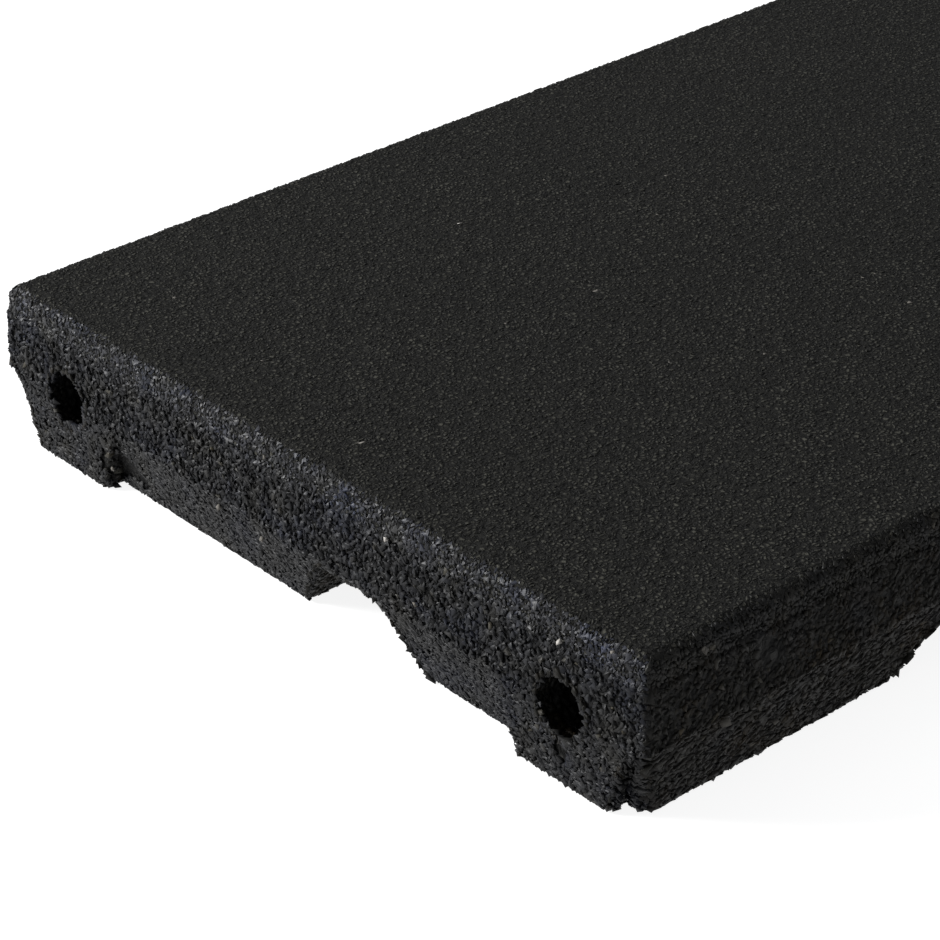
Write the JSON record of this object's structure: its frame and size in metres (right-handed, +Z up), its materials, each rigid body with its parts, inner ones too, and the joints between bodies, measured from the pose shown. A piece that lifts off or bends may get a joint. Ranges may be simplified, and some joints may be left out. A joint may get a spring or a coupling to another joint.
{
  "type": "rubber playground tile",
  "caption": "Long black crumb-rubber safety tile with leaning sides, dowel holes in its ends and arched drainage channels underneath.",
  "frame": {"origin": "on the floor, under the middle of the tile", "axes": "+X along the tile, +Y across it, +Z up through its thickness"},
  "size_m": [1, 0.25, 0.045],
  "materials": {
    "crumb_rubber": "black rubber granules pressed with a binder: fine and dull on top, coarse and open on the sides"
  },
  "bodies": {
    "root": {"tile": "crumb_rubber"}
  },
  "joints": []
}
